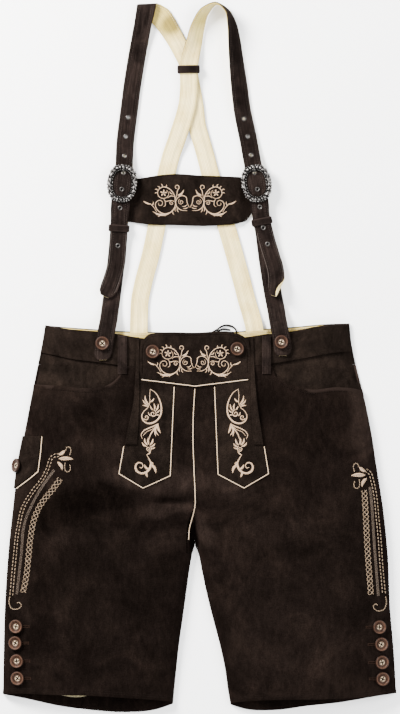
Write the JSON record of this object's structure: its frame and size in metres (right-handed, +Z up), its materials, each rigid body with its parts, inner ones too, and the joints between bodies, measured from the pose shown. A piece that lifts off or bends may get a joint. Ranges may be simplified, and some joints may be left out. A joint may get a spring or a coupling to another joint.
{
  "type": "lederhosen with braces",
  "caption": "Knee-length suede lederhosen laid flat, with a buttoned front flap, pointed tabs, a knife pocket, buckled braces and an embroidered chest strap.",
  "frame": {"origin": "on the surface the garment lies on, under the middle of its bounding box", "axes": "+Z up from the surface to the front of the garment, +Y from the leg hems to the shoulders, +X to the right of a viewer who looks down at the front"},
  "size_m": [0.5694, 1.0293, 0.0354],
  "materials": {
    "body_suede": "dark brown suede nap",
    "trim_suede": "dark brown suede nap, a little lighter",
    "cream_lining": "matte ribbed cream lining",
    "cream_piping": "matte cream piping",
    "antique_silver": "antiqued silver",
    "eyelet_metal": "worn dark nickel",
    "horn": "semi-matte brown horn",
    "lace_leather": "dark leather lace",
    "embroidery_thread": "satin cream thread",
    "dark_thread": "dark brown sewing thread"
  },
  "bodies": {
    "root": {"back_leg_left": "body_suede", "back_leg_right": "body_suede", "belt_loop_left": "trim_suede", "belt_loop_right": "trim_suede", "buckle_left": "antique_silver", "buckle_right": "antique_silver", "button_flap_left": "horn", "button_flap_right": "horn", "button_knife_pocket": "horn", "button_leg_left_1": "horn", "button_leg_left_2": "horn", "button_leg_left_3": "horn", "button_leg_left_4": "horn", "button_leg_right_1": "horn", "button_leg_right_2": "horn", "button_leg_right_3": "horn", "button_leg_right_4": "horn", "button_strap_left": "horn", "button_strap_right": "horn", "chest_strap": "trim_suede", "flap": "trim_suede", "flap_tab_left": "trim_suede", "flap_tab_right": "trim_suede", "fly_placket_left": "trim_suede", "fly_placket_right": "trim_suede", "front_leg_left": "body_suede", "front_leg_right": "body_suede", "keeper_crossing": "trim_suede", "keeper_left": "trim_suede", "keeper_right": "trim_suede", "knife_pocket": "trim_suede", "lace_end": "lace_leather", "lace_loop": "lace_leather", "piping_center": "cream_piping", "piping_flap": "cream_piping", "piping_knife_pocket": "cream_piping", "piping_tab_left": "cream_piping", "piping_tab_right": "cream_piping", "pocket_facing_left": "body_suede", "pocket_facing_right": "body_suede", "prong_left": "antique_silver", "prong_right": "antique_silver", "strap_left": "trim_suede", "strap_lining_left": "cream_lining", "strap_lining_right": "cream_lining", "strap_lower_left": "trim_suede", "strap_lower_lining_left": "cream_lining", "strap_lower_lining_right": "cream_lining", "strap_lower_right": "trim_suede", "strap_right": "trim_suede", "waistband_back": "body_suede", "waistband_front_left": "body_suede", "waistband_front_right": "body_suede", "waistband_lining": "cream_lining"}
  },
  "joints": []
}
